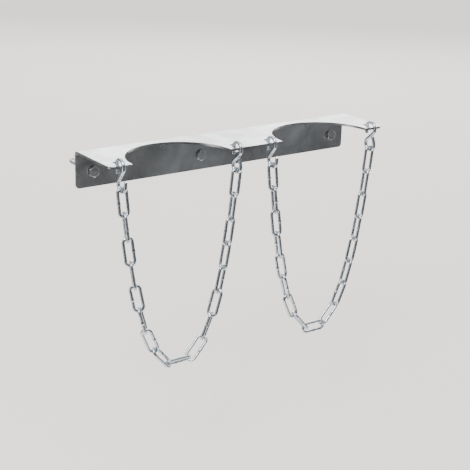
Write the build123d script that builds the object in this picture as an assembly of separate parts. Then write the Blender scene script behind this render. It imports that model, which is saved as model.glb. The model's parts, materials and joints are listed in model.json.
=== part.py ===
from build123d import *

import math
import os

# Two-cylinder wall bracket: a folded sheet-steel plate with two round seats, screwed to a wall, and a
# safety chain on two S-hooks in front of each seat. Millimetres. +Z is up, +Y points into the wall and
# the origin is the middle of the plate's back face.

# Folded plate
SHEET = 3.0  # sheet thickness
PLATE_LENGTH = 420.0
BACK_HEIGHT = 48.0
SHELF_DEPTH = 87.0  # from the wall to the shelf's front edge
FOLD_RADIUS = 2.0  # inside the fold
SHELF_CORNER = 8.0
BACK_CORNER = 4.0

# Cylinder seats
SEAT_RADIUS = 70.0  # holds a cylinder 140 across
SEAT_SPACING = 220.0

# Hook holes in the shelf
HOOK_HOLE_RADIUS = 4.25
HOOK_HOLE_SETBACK = 15.25  # from the front edge to the hole's centre
CHAIN_HALF_SPAN = 83.5  # from a seat's centre to each of its hook holes

# Wall screws
SCREW_HOLE_RADIUS = 4.5
SCREW_DROP = 28.0  # from the shelf's top face to the screw line
SCREW_END_X = 187.5
SCREW_INNER_X = 30.0
SCREW_RADIUS = 4.0
SCREW_LENGTH = 60.0
SCREW_NECK_RADIUS = 4.2  # thicker stretch under the head
SCREW_NECK_LENGTH = 3.5
SCREW_POINT = 6.0
SCREW_POINT_RADIUS = 0.5
HEAD_ACROSS_FLATS = 13.0
HEAD_HEIGHT = 5.5
HEAD_FACE_RADIUS = 6.2  # of the flat circle on the front of the head
HEAD_BEVEL = 30.0  # slope of the head's corners, in degrees

# S-hooks
HOOK_WIRE = 4.5
HOOK_LOOP_RADIUS = 8.25  # of the wire's centreline
HOOK_LENGTH = 43.0
HOOK_TAIL = 8.0  # straight end that hangs behind the shelf's edge strip
HOOK_TAIL_LEAN = 4.0
OPEN_TIP = 7.0  # straight end of the loop that lets the chain off
OPEN_TIP_LEAN = -16.0
OPEN_HOOK_TILT = 10.0  # how far it hangs away from the wall
CLOSED_TIP = 8.8  # straight end of the loop that is squeezed shut against the shank
CLOSED_TIP_LEAN = 20.0
TIP_ROUND = 0.7
HOOK_SEAT_GAP = 0.05  # between the hook and the corners that it hangs on

# Chain links
LINK_WIRE = 4.0
LINK_INNER_LENGTH = 32.0
LINK_OUTER_WIDTH = 16.0
LINK_COUNT = 17
WELD_RADIUS = 2.5
LINK_GAP = 0.1  # left between the wires of two links
LOW_LINK = 8  # the chain's two halves meet at this link's far end, where the links lie loosest
LOW_GAP = 0.7
HOOK_GAP = 0.3  # left between an end link and its hook
HANG_STEPS = 60  # to find the curve that reaches from hook to hook
SLACK_PER_MM = 0.005  # change of slack for each millimetre the chain ends short
LEVEL_PER_MM = 0.01  # change of the level link for each millimetre the chain ends high

# How the links turn about their own length, in degrees. Every other link lies across the chain's plane.
LEFT_TWIST = 45.0  # of the lowest link, from which the twist fades towards both hooks
RIGHT_TWIST = 0.0
CROSS_LEAN = 18.0  # of the crosswise links next to the hooks, away from square

SHELF_TOP = BACK_HEIGHT / 2
STRIP_WIDTH = HOOK_HOLE_SETBACK - HOOK_HOLE_RADIUS  # of sheet between a hook hole and the front edge
LOOP_SPACING = HOOK_LENGTH - 2 * HOOK_LOOP_RADIUS - HOOK_WIRE
HOOK_INNER_RADIUS = HOOK_LOOP_RADIUS - HOOK_WIRE / 2 - HOOK_SEAT_GAP
# The upper loop hangs on the two top corners of the strip.
HOOK_CENTRE_DROP = math.sqrt(HOOK_INNER_RADIUS**2 - (STRIP_WIDTH / 2) ** 2)
HOOK_CENTRE_Y = -SHELF_DEPTH + STRIP_WIDTH / 2
HOOK_CENTRE_Z = SHELF_TOP - HOOK_CENTRE_DROP

LINK_BEND = (LINK_OUTER_WIDTH - LINK_WIRE) / 2  # of the wire's centreline
LINK_STRAIGHT = LINK_INNER_LENGTH + LINK_WIRE - 2 * LINK_BEND
# From the centre of an end link's bend to the middle of the hook's wire that rests in it
HOOK_CRADLE = LINK_BEND - (LINK_WIRE + HOOK_WIRE) / 2 - HOOK_GAP


def write(part, name):
    part.label = name
    export_step(part, os.path.join("parts", name + ".step"))


# ---------------------------------------------------------------- plate


def make_plate():
    back_bottom = SHELF_TOP - BACK_HEIGHT
    inner_top = SHELF_TOP - SHEET
    outline = Polyline(
        (0, back_bottom),
        (0, SHELF_TOP),
        (-SHELF_DEPTH, SHELF_TOP),
        (-SHELF_DEPTH, inner_top),
        (-SHEET, inner_top),
        (-SHEET, back_bottom),
        close=True,
    )
    profile = make_face(outline)
    outer_fold = profile.vertices().sort_by_distance((0, SHELF_TOP, 0))[0]
    profile = fillet(outer_fold, FOLD_RADIUS + SHEET)
    inner_fold = profile.vertices().sort_by_distance((-SHEET, inner_top, 0))[0]
    profile = fillet(inner_fold, FOLD_RADIUS)
    plate = extrude(Plane.YZ.offset(-PLATE_LENGTH / 2) * profile, PLATE_LENGTH)

    front_corners = plate.edges().filter_by(Axis.Z).filter_by(lambda e: e.center().Y < -SHELF_DEPTH / 2)
    plate = fillet(front_corners, SHELF_CORNER)
    low_corners = plate.edges().filter_by(Axis.Y).filter_by(lambda e: e.center().Z < 0)
    plate = fillet(low_corners, BACK_CORNER)

    for side in (-1, 1):
        seat_x = side * SEAT_SPACING / 2
        plate -= Pos(seat_x, -SHELF_DEPTH, inner_top) * Cylinder(SEAT_RADIUS, 3 * SHEET)
        for end in (-1, 1):
            hole_x = seat_x + end * CHAIN_HALF_SPAN
            hole_y = -SHELF_DEPTH + HOOK_HOLE_SETBACK
            plate -= Pos(hole_x, hole_y, inner_top) * Cylinder(HOOK_HOLE_RADIUS, 3 * SHEET)
    for screw_x in (-SCREW_END_X, -SCREW_INNER_X, SCREW_INNER_X, SCREW_END_X):
        drill = Rot(90, 0, 0) * Cylinder(SCREW_HOLE_RADIUS, 3 * SHEET)
        plate -= Pos(screw_x, -SHEET, SHELF_TOP - SCREW_DROP) * drill
    return plate


# ---------------------------------------------------------------- wall screws


def make_screw(screw_x):
    """A hexagon-head screw, built pointing along +Z and then turned to point into the wall."""
    standing = (Align.CENTER, Align.CENTER, Align.MIN)
    hexagon = RegularPolygon(HEAD_ACROSS_FLATS / 2, 6, major_radius=False)
    bevel_spread = HEAD_HEIGHT / math.tan(math.radians(HEAD_BEVEL))
    bevel = Cone(HEAD_FACE_RADIUS + bevel_spread, HEAD_FACE_RADIUS, HEAD_HEIGHT, align=standing)
    head = Rot(180, 0, 0) * (extrude(hexagon, HEAD_HEIGHT) & bevel)

    neck = Cylinder(SCREW_NECK_RADIUS, SCREW_NECK_LENGTH, align=standing)
    body_length = SCREW_LENGTH - SCREW_POINT
    body = Cylinder(SCREW_RADIUS, body_length, align=standing)
    point = Pos(0, 0, body_length) * Cone(SCREW_RADIUS, SCREW_POINT_RADIUS, SCREW_POINT, align=standing)
    screw = head + neck + body + point
    return Pos(screw_x, -SHEET, SHELF_TOP - SCREW_DROP) * Rot(-90, 0, 0) * screw


# ---------------------------------------------------------------- S-hooks


def polar(centre, radius, angle):
    turn = math.radians(angle)
    return (centre[0] + radius * math.cos(turn), centre[1] + radius * math.sin(turn))


def round_end(wire, end):
    """Rounds the rim of a wire's cut end, the rim being the circle nearest to that end of its path."""
    rims = wire.edges().filter_by(GeomType.CIRCLE)
    rim = min(rims, key=lambda e: (e.arc_center - Vector(*end)).length)
    return fillet(rim, TIP_ROUND)


def bend_wire(path):
    section = Plane(origin=path @ 0, z_dir=path % 0) * Circle(HOOK_WIRE / 2)
    return sweep(section, path=path)


def make_hook(hook_x, tip_length, tip_lean, tilt):
    """An S-hook of round wire. Its path is drawn as (back, up) from the upper loop's centre."""
    radius = HOOK_LOOP_RADIUS
    upper = (0, 0)
    lower = (0, -LOOP_SPACING)
    # The shank is the straight line that touches both loops and crosses between them.
    slant = math.degrees(math.asin(2 * radius / LOOP_SPACING))

    tail_angle = -HOOK_TAIL_LEAN
    tail_foot = polar(upper, radius, tail_angle)
    tail_end = polar(tail_foot, HOOK_TAIL, tail_angle - 90)
    tail = Line(tail_end, tail_foot)
    upper_loop = CenterArc(upper, radius, tail_angle, 180 + slant - tail_angle)

    tip_angle = 180 - tip_lean
    tip_foot = polar(lower, radius, tip_angle)
    tip_end = polar(tip_foot, tip_length, tip_angle - 90)
    lower_loop = CenterArc(lower, radius, slant, tip_angle - 360 - slant)
    shank = Line(upper_loop @ 1, lower_loop @ 0)
    tip = Line(tip_foot, tip_end)

    hook = bend_wire(Wire([tail, upper_loop, shank, lower_loop, tip]))
    hook = round_end(hook, tail_end)
    hook = round_end(hook, tip_end)
    return Pos(hook_x, HOOK_CENTRE_Y, HOOK_CENTRE_Z) * Rot(-tilt, 0, 0) * (Plane.YZ * hook)


def hook_foot(hook_x, tilt):
    """The middle of the wire at the lowest point of a hook's lower loop."""
    forward = LOOP_SPACING * math.sin(math.radians(tilt))
    drop = LOOP_SPACING * math.cos(math.radians(tilt)) + HOOK_LOOP_RADIUS
    return Vector(hook_x, HOOK_CENTRE_Y - forward, HOOK_CENTRE_Z - drop)


# ---------------------------------------------------------------- chains


def make_link(weld_side):
    """A welded long link in the XZ plane, its length along X, with the weld's bead on one of its legs."""
    half = LINK_STRAIGHT / 2
    section = Plane.YZ * Circle(LINK_WIRE / 2)
    link = Pos(0, 0, weld_side * LINK_BEND) * Sphere(WELD_RADIUS)
    for end in (-1, 1):
        turning = Axis((end * half, 0, 0), (0, 1, 0))
        link += extrude(Pos(-half, 0, end * LINK_BEND) * section, LINK_STRAIGHT)
        link += revolve(Pos(end * half, 0, end * LINK_BEND) * section, turning, 180)
    return link


def roll_links(twist):
    """How far each link is turned about its own length. At 0 it lies in the hanging chain's plane."""
    middle = (LINK_COUNT + 1) / 2
    rolls = []
    for number in range(1, LINK_COUNT + 1):
        from_middle = (middle - number) / (middle - 1)
        roll = twist * math.cos(math.radians(90 * from_middle)) ** 2
        if number % 2 == 0:
            roll += 90 + CROSS_LEAN * from_middle
        rolls.append(roll)
    return rolls


def turn_links(rolls, bearing, slack, middle):
    """The turn of each link. The chain heads along its bearing, its link number `middle` lies level, and
    a larger slack hangs shallower."""
    turns = []
    for number, roll in enumerate(rolls, 1):
        slope = math.degrees(math.atan2(middle - number, slack))
        turns.append(Rot(0, 0, bearing) * Rot(0, slope, 0) * Rot(roll, 0, 0))
    return turns


def flatten(direction, turn):
    """A direction's shadow in the plane of a link, at length 1."""
    normal = turn.y_axis.direction
    return (direction - normal * direction.dot(normal)).normalized()


def lay_chain(foot, turns):
    """Lays links end to end from the release hook. Gives each link's pivot and centre, and the far end."""
    first = turns[0].x_axis.direction
    last = turns[-1].x_axis.direction
    bend_centre = foot + first * HOOK_CRADLE
    pivot = bend_centre - first * LINK_BEND
    places = []
    for number, (turn, following) in enumerate(zip(turns, turns[1:] + [None]), 1):
        gap = LOW_GAP if number == LOW_LINK else LINK_GAP
        along = turn.x_axis.direction
        places.append((pivot, bend_centre + along * LINK_STRAIGHT / 2))
        bend_centre += along * LINK_STRAIGHT
        if following is not None:
            # Two links pull on each other halfway between their own directions, wire across wire.
            pull = (along + following.x_axis.direction).normalized()
            wire_middle = bend_centre + flatten(pull, turn) * LINK_BEND
            pivot = wire_middle - pull * LINK_WIRE / 2
            bend_centre = wire_middle - pull * (LINK_WIRE + gap) + flatten(pull, following) * LINK_BEND
    return places, bend_centre + last * HOOK_CRADLE


def hang_chain(seat_x, rolls):
    """Adjusts the slack and the level link until the chain's far end meets the keeper hook."""
    start = hook_foot(seat_x - CHAIN_HALF_SPAN, OPEN_HOOK_TILT)
    finish = hook_foot(seat_x + CHAIN_HALF_SPAN, 0)
    bearing = math.degrees(math.atan2(finish.Y - start.Y, finish.X - start.X))
    slack = 1.0
    middle = (LINK_COUNT + 1) / 2
    for _ in range(HANG_STEPS):
        turns = turn_links(rolls, bearing, slack, middle)
        places, end = lay_chain(start, turns)
        slack += (finish.X - end.X) * SLACK_PER_MM
        middle += (end.Z - finish.Z) * LEVEL_PER_MM
    return turns, places


def write_chain(side, seat_x, twist):
    release_hook = make_hook(seat_x - CHAIN_HALF_SPAN, OPEN_TIP, OPEN_TIP_LEAN, OPEN_HOOK_TILT)
    keeper_hook = make_hook(seat_x + CHAIN_HALF_SPAN, CLOSED_TIP, CLOSED_TIP_LEAN, 0)
    write(release_hook, side + "_chain_release_hook")
    write(keeper_hook, side + "_chain_keeper_hook")
    links = (make_link(-1), make_link(1))
    turns, places = hang_chain(seat_x, roll_links(twist))
    for number, (turn, (pivot, centre)) in enumerate(zip(turns, places), 1):
        link = Pos(*centre) * turn * links[number // 2 % 2]
        write(link, f"{side}_chain_link_{number:02d}")


os.makedirs("parts", exist_ok=True)
write(make_plate(), "bracket_plate")
write(make_screw(-SCREW_END_X), "wall_screw_left")
write(make_screw(-SCREW_INNER_X), "wall_screw_middle")
write(make_screw(SCREW_END_X), "wall_screw_right")
write_chain("left", -SEAT_SPACING / 2, LEFT_TWIST)
write_chain("right", SEAT_SPACING / 2, RIGHT_TWIST)
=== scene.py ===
import json
import math

import bpy
import numpy as np
from mathutils import Matrix, Vector, noise

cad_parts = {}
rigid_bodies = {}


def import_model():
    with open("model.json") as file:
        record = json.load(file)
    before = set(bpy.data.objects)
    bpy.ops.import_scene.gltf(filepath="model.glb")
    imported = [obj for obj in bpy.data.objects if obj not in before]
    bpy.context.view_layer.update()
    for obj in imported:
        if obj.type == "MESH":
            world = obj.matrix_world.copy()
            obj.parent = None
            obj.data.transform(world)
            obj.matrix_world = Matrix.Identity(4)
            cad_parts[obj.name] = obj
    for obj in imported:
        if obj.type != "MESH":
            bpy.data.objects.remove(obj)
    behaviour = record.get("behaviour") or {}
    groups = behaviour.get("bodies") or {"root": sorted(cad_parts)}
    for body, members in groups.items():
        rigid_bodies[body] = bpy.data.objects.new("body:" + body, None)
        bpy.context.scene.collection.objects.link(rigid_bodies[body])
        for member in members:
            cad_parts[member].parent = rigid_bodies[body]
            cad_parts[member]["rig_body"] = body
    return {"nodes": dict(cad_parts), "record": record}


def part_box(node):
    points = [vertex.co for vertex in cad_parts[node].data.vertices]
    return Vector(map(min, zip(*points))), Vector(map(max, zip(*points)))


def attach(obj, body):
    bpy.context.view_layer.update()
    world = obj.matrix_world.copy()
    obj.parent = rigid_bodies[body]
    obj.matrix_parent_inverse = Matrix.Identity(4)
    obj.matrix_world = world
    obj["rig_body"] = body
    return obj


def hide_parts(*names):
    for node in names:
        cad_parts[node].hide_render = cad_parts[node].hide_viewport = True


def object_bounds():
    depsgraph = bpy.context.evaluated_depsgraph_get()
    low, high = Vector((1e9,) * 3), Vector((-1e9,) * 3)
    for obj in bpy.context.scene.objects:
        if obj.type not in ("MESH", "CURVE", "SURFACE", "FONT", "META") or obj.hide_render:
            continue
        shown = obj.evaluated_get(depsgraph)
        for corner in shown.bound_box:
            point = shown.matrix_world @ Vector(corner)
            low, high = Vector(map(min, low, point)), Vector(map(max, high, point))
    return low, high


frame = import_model()
cad_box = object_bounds()

# A galvanised wall bracket for two gas cylinders, with a safety chain on two S-hooks in front of each
# seat. The plate and hooks are the CAD nodes with a zinc finish. The links and screws are finer meshes
# that stand in the places of their CAD nodes. Metres, with the same axes as the frame.

MM = 0.001

# Chain link
LINK_WIRE_RADIUS = 2.0 * MM
LINK_BEND_RADIUS = 6.0 * MM  # of the wire's centreline
LINK_STRAIGHT = 24.0 * MM
WELD_SWELL = 0.5 * MM  # about how far the weld stands out of the wire
WELD_LENGTH = 1.3 * MM
WELD_SMOOTH = 0.9  # share of the swell that is even all round
WELD_LUMPY = 0.3  # share of it that comes and goes with the lumps
PINCH = 0.12 * MM  # how far the wire is flattened where two links have worn
PINCH_FADE = 4  # a higher power keeps the wear closer to the link's tips
LEG_RINGS = 36
BEND_RINGS = 20
WIRE_SIDES = 24

# Wall screw
HEAD_ACROSS_FLATS = 13.0 * MM
HEAD_HEIGHT = 5.5 * MM
HEAD_FACE_RADIUS = 6.2 * MM
HEAD_FACE_RINGS = (0.4, 0.97, 1.0)  # on the head's flat face, as shares of its radius
BEVEL_SLOPE = math.tan(math.radians(60))
BEVEL_DEPTH = 1.4 * MM
BEVEL_ROWS = 12
NECK_RADIUS = 4.2 * MM
NECK_LENGTH = 3.5 * MM
NECK_FLARE = 0.2 * MM  # how much wider the neck is right under the head
NECK_FLARE_LENGTH = 0.3 * MM
NECK_STEP = 0.2 * MM  # over which the neck narrows to the shank
SHANK_RADIUS = 4.0 * MM
SHANK_LENGTH = 22.0 * MM
ROOT_RADIUS = 2.9 * MM
THREAD_PITCH = 3.6 * MM
THREAD_START = 2.0 * MM  # over which the thread deepens below the shank
RIDGE_HALF_WIDTH = 0.2  # of the thread's ridge, as a share of its pitch
POINT_LENGTH = 6.0 * MM
POINT_RADIUS = 0.5 * MM
SCREW_LENGTH = 60.0 * MM
SCREW_SIDES = 96
THREAD_ROW = 0.3 * MM  # between two rows of the thread's mesh

# Plate edge
EDGE_BREAK = 0.35 * MM
EDGE_SEGMENTS = 2
EDGE_ANGLE = 40.0  # degrees; a sharper edge than this is broken

# Camera
CAMERA_PLACE = (-0.8489, -1.2311, 0.3958)
CAMERA_YAW = 35.589  # degrees to the right of straight at the wall
CAMERA_PITCH = 19.042  # degrees downwards
CAMERA_ROLL = 1.679
CAMERA_LENS = 89.81  # millimetres, as is the sensor
SENSOR_WIDTH = 36.0

# Studio
FLOOR_DROP = 0.16  # below the chains
FLOOR_SIZE = 30.0
# The dark screens' ends, as directions on the floor in degrees from +X. The pale gap between them
# draws a bright line down each wire.
SCREEN_SPANS = ((-235.0, -188.0), (-168.0, -5.0))
SCREEN_STEPS = 16
SCREEN_FOOT_RADIUS = 0.42
SCREEN_TOP_RADIUS = 1.1
SCREEN_TOP = 0.5
SCREEN_COLOUR = (0.085, 0.087, 0.092)
FLOOR_COLOUR = (0.90, 0.875, 0.845)
ROOM_COLOUR = (1.0, 0.99, 0.97)
ROOM_STRENGTH = 1.6
MATT_ROUGHNESS = 0.9
MATT_SHINE = 0.1

# Finishes
CLOUD_RANGE = (0.32, 0.68)  # of the noise, from a wholly dark patch to a wholly light one
GLOSS_RANGE = (0.3, 0.7)  # of the noise, from the smoothest zinc to the roughest
GLOSS_FINENESS = 3  # how many times finer the changes in gloss are than the patches
LUMP_SIZE = 1.4  # millimetres
LUMP_STRENGTH = 0.5

# Sockets of a Mix node that mixes colours
MIX_AMOUNT = 0
MIX_FIRST = 6
MIX_SECOND = 7
MIX_RESULT = 2


# ---------------------------------------------------------------- materials


def zinc(name, light, dark, patch, grain, grain_depth, speck, speck_range, speck_colour, roughness, relief):
    """Galvanised or plated steel. The lengths patch, grain and speck are the sizes of its cloudy patches,
    its crystals and its specks, and relief is the depth of its lumps, all in millimetres. Specks come in as
    their noise passes through speck_range."""
    material = bpy.data.materials.new(name)
    material.use_nodes = True
    nodes = material.node_tree.nodes
    link = material.node_tree.links.new
    shader = nodes["Principled BSDF"]
    shader.inputs["Metallic"].default_value = 1.0
    place = nodes.new("ShaderNodeTexCoord").outputs["Object"]

    def pattern(size, detail, distortion):
        texture = nodes.new("ShaderNodeTexNoise")
        texture.inputs["Scale"].default_value = 1 / (size * MM)
        texture.inputs["Detail"].default_value = detail
        texture.inputs["Distortion"].default_value = distortion
        link(place, texture.inputs["Vector"])
        return texture.outputs["Fac"]

    def spread(value, low, high, to_low=0.0, to_high=1.0):
        node = nodes.new("ShaderNodeMapRange")
        node.inputs["From Min"].default_value = low
        node.inputs["From Max"].default_value = high
        node.inputs["To Min"].default_value = to_low
        node.inputs["To Max"].default_value = to_high
        link(value, node.inputs["Value"])
        return node.outputs["Result"]

    def blend(amount, first, second, way="MIX"):
        node = nodes.new("ShaderNodeMix")
        node.data_type = "RGBA"
        node.blend_type = way
        for number, value in ((MIX_AMOUNT, amount), (MIX_FIRST, first), (MIX_SECOND, second)):
            if isinstance(value, bpy.types.NodeSocket):
                link(value, node.inputs[number])
            else:
                node.inputs[number].default_value = value
        return node.outputs[MIX_RESULT]

    clouds = spread(pattern(patch, detail=6, distortion=0.8), *CLOUD_RANGE)
    crystals = nodes.new("ShaderNodeTexVoronoi")
    crystals.inputs["Scale"].default_value = 1 / (grain * MM)
    link(place, crystals.inputs["Vector"])
    crystal_shade = nodes.new("ShaderNodeSeparateColor")
    link(crystals.outputs["Color"], crystal_shade.inputs["Color"])
    shade = spread(crystal_shade.outputs["Red"], 0.0, 1.0, 1 - grain_depth, 1.0)
    specks = spread(pattern(speck, detail=2, distortion=0.0), *speck_range)

    colour = blend(clouds, (*dark, 1), (*light, 1))
    colour = blend(1.0, colour, shade, "MULTIPLY")
    colour = blend(specks, colour, (*speck_colour, 1))
    link(colour, shader.inputs["Base Color"])
    gloss = pattern(patch / GLOSS_FINENESS, detail=5, distortion=0.3)
    link(spread(gloss, *GLOSS_RANGE, *roughness), shader.inputs["Roughness"])

    lumps = nodes.new("ShaderNodeBump")
    lumps.inputs["Strength"].default_value = LUMP_STRENGTH
    lumps.inputs["Distance"].default_value = relief * MM
    link(pattern(LUMP_SIZE, detail=4, distortion=0.2), lumps.inputs["Height"])
    link(lumps.outputs["Normal"], shader.inputs["Normal"])
    return material


def matt(name, colour):
    """A dull surface for the studio."""
    material = bpy.data.materials.new(name)
    material.use_nodes = True
    shader = material.node_tree.nodes["Principled BSDF"]
    shader.inputs["Base Color"].default_value = (*colour, 1)
    shader.inputs["Roughness"].default_value = MATT_ROUGHNESS
    shader.inputs["Specular IOR Level"].default_value = MATT_SHINE
    return material


MATERIALS = {
    "plate_zinc": zinc(
        "plate_zinc",
        light=(0.64, 0.655, 0.665),
        dark=(0.31, 0.32, 0.33),
        patch=60,
        grain=4.0,
        grain_depth=0.06,
        speck=2.6,
        speck_range=(0.70, 0.78),
        speck_colour=(0.8, 0.82, 0.84),
        roughness=(0.27, 0.33),
        relief=0.02,
    ),
    "screw_zinc": zinc(
        "screw_zinc",
        light=(0.70, 0.71, 0.72),
        dark=(0.44, 0.45, 0.46),
        patch=5,
        grain=0.8,
        grain_depth=0.12,
        speck=0.7,
        speck_range=(0.64, 0.72),
        speck_colour=(0.25, 0.25, 0.26),
        roughness=(0.26, 0.40),
        relief=0.03,
    ),
    "hook_zinc": zinc(
        "hook_zinc",
        light=(0.74, 0.80, 0.86),
        dark=(0.46, 0.53, 0.60),
        patch=7,
        grain=1.0,
        grain_depth=0.08,
        speck=0.8,
        speck_range=(0.66, 0.74),
        speck_colour=(0.26, 0.29, 0.32),
        roughness=(0.08, 0.20),
        relief=0.02,
    ),
    "chain_zinc": zinc(
        "chain_zinc",
        light=(0.76, 0.81, 0.86),
        dark=(0.46, 0.51, 0.56),
        patch=6,
        grain=1.1,
        grain_depth=0.18,
        speck=0.9,
        speck_range=(0.64, 0.74),
        speck_colour=(0.14, 0.155, 0.17),
        roughness=(0.14, 0.32),
        relief=0.06,
    ),
}


def dress(piece, slot):
    piece.data.materials.clear()
    piece.data.materials.append(MATERIALS[slot])


# ---------------------------------------------------------------- meshes


def tube_mesh(name, rings, closed):
    """A skin over rings of points. A closed tube joins its last ring to its first, and an open one has
    a point at each end."""
    count = len(rings[0])
    points = [point for ring in rings for point in ring]
    faces = []
    pairs = list(zip(range(len(rings)), range(1, len(rings))))
    if closed:
        pairs.append((len(rings) - 1, 0))
    for near, far in pairs:
        for side in range(count):
            after = (side + 1) % count
            near_edge = (near * count + side, near * count + after)
            far_edge = (far * count + after, far * count + side)
            faces.append(near_edge + far_edge)
    if not closed:
        for ring, flip in ((0, True), (len(rings) - 1, False)):
            middle = sum((Vector(p) for p in rings[ring]), Vector()) / count
            points.append(middle)
            for side in range(count):
                pair = (ring * count + side, ring * count + (side + 1) % count)
                faces.append((*(pair[::-1] if flip else pair), len(points) - 1))
    mesh = bpy.data.meshes.new(name)
    mesh.from_pydata([tuple(p) for p in points], [], faces)
    mesh.shade_smooth()
    return mesh


def show(name, mesh, node, slot):
    """Puts a mesh in the place of a CAD node, on the same body and with the same finish."""
    piece = bpy.data.objects.new(name, mesh)
    bpy.context.scene.collection.objects.link(piece)
    dress(piece, slot)
    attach(piece, frame["nodes"][node]["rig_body"])
    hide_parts(node)


# ---------------------------------------------------------------- chain links


def link_line():
    """The link's centreline, as (place along it, across it), with its outward direction, once round."""
    half = LINK_STRAIGHT / 2
    line = []
    for side in (1, -1):
        for step in range(LEG_RINGS):
            along = side * LINK_STRAIGHT * (step / LEG_RINGS - 0.5)
            line.append((Vector((along, 0, side * LINK_BEND_RADIUS)), Vector((0, 0, side))))
        for step in range(BEND_RINGS):
            turn = math.pi * step / BEND_RINGS
            outward = Vector((math.sin(turn), 0, math.cos(turn))) * side
            line.append((Vector((side * half, 0, 0)) + outward * LINK_BEND_RADIUS, outward))
    return line


def link_mesh(name, weld_side, seed):
    """A long link in the XZ plane, with its weld's bead and the flats that its neighbours have worn."""
    rings = []
    for centre, outward in link_line():
        from_weld = (centre - Vector((0, 0, weld_side * LINK_BEND_RADIUS))).length
        swell = WELD_SWELL * math.exp(-((from_weld / WELD_LENGTH) ** 2))
        at_tip = max(0.0, abs(centre.x) - LINK_STRAIGHT / 2) / LINK_BEND_RADIUS
        ring = []
        for side in range(WIRE_SIDES):
            turn = 2 * math.pi * side / WIRE_SIDES
            spoke = outward * math.cos(turn) + Vector((0, 1, 0)) * math.sin(turn)
            worn = PINCH * at_tip**PINCH_FADE * max(0.0, -math.cos(turn))
            rough = swell * noise.noise((centre + spoke * LINK_WIRE_RADIUS) / MM + Vector((seed, 0, 0)))
            radius = LINK_WIRE_RADIUS + swell * WELD_SMOOTH + rough * WELD_LUMPY - worn
            ring.append(centre + spoke * radius)
        rings.append(ring)
    return tube_mesh(name, rings, closed=True)


def link_place(node):
    """Where a CAD link lies: its middle and its axes (long, normal, wide), and which leg has its weld."""
    points = np.array([vertex.co for vertex in frame["nodes"][node].data.vertices])
    axes = np.linalg.eigh(np.cov((points - points.mean(0)).T))[1]
    normal, wide, long = axes.T
    if long @ np.cross(normal, wide) < 0:
        normal = -normal
    lows = [(points @ axis).min() for axis in (long, normal, wide)]
    highs = [(points @ axis).max() for axis in (long, normal, wide)]
    middles = [(low + high) / 2 for low, high in zip(lows, highs)]
    weld_side = 1 if points.mean(0) @ wide > middles[2] else -1
    middles[2] -= weld_side * WELD_SWELL / 2
    turn = Matrix((long, normal, wide)).transposed()
    return Matrix.Translation(turn @ Vector(middles)) @ turn.to_4x4(), weld_side


# ---------------------------------------------------------------- wall screws


def hexagon_radius(turn):
    sixth = math.pi / 3
    return HEAD_ACROSS_FLATS / 2 / math.cos(turn % sixth - sixth / 2)


def threaded(depth, turn):
    """Radius on a coarse thread whose ridge is narrow, starts at the shank and fades at the point."""
    place = (depth / THREAD_PITCH - turn / (2 * math.pi)) % 1.0
    ridge = max(0.0, 1 - abs(place - 0.5) / RIDGE_HALF_WIDTH)
    taper = min(1.0, (SCREW_LENGTH - depth) / POINT_LENGTH)
    start = min(1.0, (depth - SHANK_LENGTH) / THREAD_START)
    root = SHANK_RADIUS + (ROOT_RADIUS - SHANK_RADIUS) * start
    return POINT_RADIUS + (root + (SHANK_RADIUS - root) * ridge - POINT_RADIUS) * taper


def round_row(depth, radius):
    """A row with the same radius all round."""
    return depth, lambda turn: radius


def bevel_row(depth):
    """A row below the head's face, in which the bevel's cone cuts off the hexagon's corners."""
    cone = HEAD_FACE_RADIUS + depth * BEVEL_SLOPE
    return depth - HEAD_HEIGHT, lambda turn: min(hexagon_radius(turn), cone)


def thread_row(depth):
    return depth, lambda turn: threaded(depth, turn)


def screw_rows():
    """The screw's outline from its head's face to its point: rows of (depth, radius at each turn)."""
    rows = [round_row(-HEAD_HEIGHT, HEAD_FACE_RADIUS * share) for share in HEAD_FACE_RINGS]
    rows += [bevel_row(BEVEL_DEPTH * step / BEVEL_ROWS) for step in range(1, BEVEL_ROWS + 1)]
    rows.append((0, hexagon_radius))
    rows.append(round_row(0, NECK_RADIUS + NECK_FLARE))
    rows.append(round_row(NECK_FLARE_LENGTH, NECK_RADIUS))
    rows.append(round_row(NECK_LENGTH, NECK_RADIUS))
    rows.append(round_row(NECK_LENGTH + NECK_STEP, SHANK_RADIUS))
    rows.append(round_row(SHANK_LENGTH, SHANK_RADIUS))
    for step in range(1, int((SCREW_LENGTH - SHANK_LENGTH) / THREAD_ROW)):
        rows.append(thread_row(SHANK_LENGTH + step * THREAD_ROW))
    rows.append(round_row(SCREW_LENGTH, POINT_RADIUS))
    return rows


def screw_mesh(name):
    rings = []
    for depth, radius in screw_rows():
        ring = []
        for side in range(SCREW_SIDES):
            turn = 2 * math.pi * side / SCREW_SIDES
            ring.append((radius(turn) * math.sin(turn), depth, radius(turn) * math.cos(turn)))
        rings.append(ring)
    return tube_mesh(name, rings, closed=False)


# ---------------------------------------------------------------- plate and hooks


def break_edges(node):
    """Rounds a CAD node's sharp edges slightly, as its zinc coat does, without touching its mesh."""
    piece = frame["nodes"][node]
    bevel = piece.modifiers.new("broken_edges", "BEVEL")
    bevel.width = EDGE_BREAK
    bevel.segments = EDGE_SEGMENTS
    bevel.limit_method = "ANGLE"
    bevel.angle_limit = math.radians(EDGE_ANGLE)
    bevel.harden_normals = True


# ---------------------------------------------------------------- studio


def soft_light(name, place, size, power):
    """A lamp that faces the frame's origin. Its power is in watts."""
    light = bpy.data.lights.new(name, "AREA")
    light.shape = "RECTANGLE"
    light.size, light.size_y = size
    light.energy = power
    lamp = bpy.data.objects.new(name, light)
    lamp.location = place
    lamp.rotation_euler = Vector(place).to_track_quat("Z", "Y").to_euler()
    lamp.visible_camera = False
    bpy.context.scene.collection.objects.link(lamp)


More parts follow.
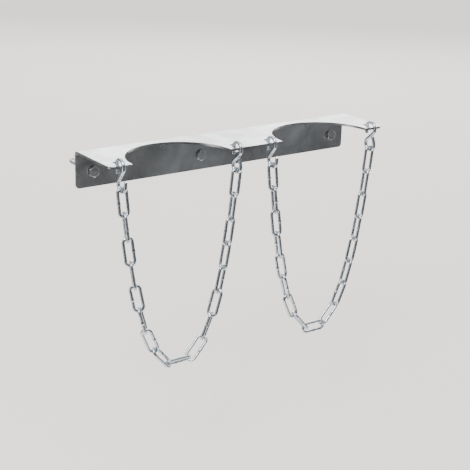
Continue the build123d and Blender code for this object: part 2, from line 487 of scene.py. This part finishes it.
def board(name, points, faces, material):
    """A piece of the studio, which is no part of the object."""
    mesh = bpy.data.meshes.new(name)
    mesh.from_pydata(points, [], faces)
    mesh.materials.append(material)
    piece = bpy.data.objects.new(name, mesh)
    bpy.context.scene.collection.objects.link(piece)
    return piece


def camera():
    """The photograph's viewpoint."""
    data = bpy.data.cameras.new("photo_camera")
    data.lens = CAMERA_LENS
    data.sensor_width = SENSOR_WIDTH
    eye = bpy.data.objects.new("photo_camera", data)
    yaw = Matrix.Rotation(-math.radians(CAMERA_YAW), 4, "Z")
    pitch = Matrix.Rotation(math.radians(90 - CAMERA_PITCH), 4, "X")
    roll = Matrix.Rotation(math.radians(CAMERA_ROLL), 4, "Z")
    eye.matrix_world = Matrix.Translation(CAMERA_PLACE) @ yaw @ pitch @ roll
    bpy.context.scene.collection.objects.link(eye)
    bpy.context.scene.camera = eye


def floor(level):
    reach = FLOOR_SIZE / 2
    corners = [(x * reach, y * reach, level) for x, y in ((-1, -1), (1, -1), (1, 1), (-1, 1))]
    board("floor", corners, [(0, 1, 2, 3)], matt("pale_floor", FLOOR_COLOUR))


def dark_screens(level):
    """Screens that only reflections see. They give the zinc the dark side that a room gives it."""
    dark = matt("dark_screen", SCREEN_COLOUR)
    for number, (first, last) in enumerate(SCREEN_SPANS, 1):
        rim = []
        for step in range(SCREEN_STEPS + 1):
            turn = math.radians(first + (last - first) * step / SCREEN_STEPS)
            for radius, height in ((SCREEN_FOOT_RADIUS, level), (SCREEN_TOP_RADIUS, SCREEN_TOP)):
                rim.append((radius * math.cos(turn), radius * math.sin(turn), height))
        panels = [(2 * step, 2 * step + 2, 2 * step + 3, 2 * step + 1) for step in range(SCREEN_STEPS)]
        screen = board(f"dark_screen_{number}", rim, panels, dark)
        screen.visible_camera = False
        screen.visible_diffuse = False
        screen.visible_shadow = False


def pale_room():
    world = bpy.data.worlds.new("pale_room")
    world.use_nodes = True
    background = world.node_tree.nodes["Background"]
    background.inputs["Color"].default_value = (*ROOM_COLOUR, 1)
    background.inputs["Strength"].default_value = ROOM_STRENGTH
    bpy.context.scene.world = world


def studio(lowest):
    floor(lowest - FLOOR_DROP)
    dark_screens(lowest - FLOOR_DROP)
    pale_room()
    soft_light("key", place=(-1.6, -1.3, 1.9), size=(1.0, 1.0), power=60)
    soft_light("behind", place=(1.9, 2.4, 1.3), size=(2.6, 1.4), power=50)


# ---------------------------------------------------------------- the object

SLOTS = {part["node"]: part["material_slot"] for part in frame["record"]["subparts"]}


def welded_link(node, slot):
    """Stands a welded link in its CAD node's place. Its number gives it weld lumps of its own."""
    place, weld_side = link_place(node)
    mesh = link_mesh("welded_" + node, weld_side, sorted(SLOTS).index(node))
    mesh.transform(place)
    show("welded_" + node, mesh, node, slot)


def threaded_screw(node, slot):
    """Stands a threaded screw in its CAD node's place, with the back of its head where the node's is."""
    low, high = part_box(node)
    mesh = screw_mesh("threaded_" + node)
    head_back = Vector(((low.x + high.x) / 2, low.y + HEAD_HEIGHT, (low.z + high.z) / 2))
    mesh.transform(Matrix.Translation(head_back))
    show("threaded_" + node, mesh, node, slot)


for node, slot in SLOTS.items():
    if slot == "chain_zinc":
        welded_link(node, slot)
    elif slot == "screw_zinc":
        threaded_screw(node, slot)
    else:
        dress(frame["nodes"][node], slot)

break_edges("bracket_plate")
studio(cad_box[0][2])
camera()
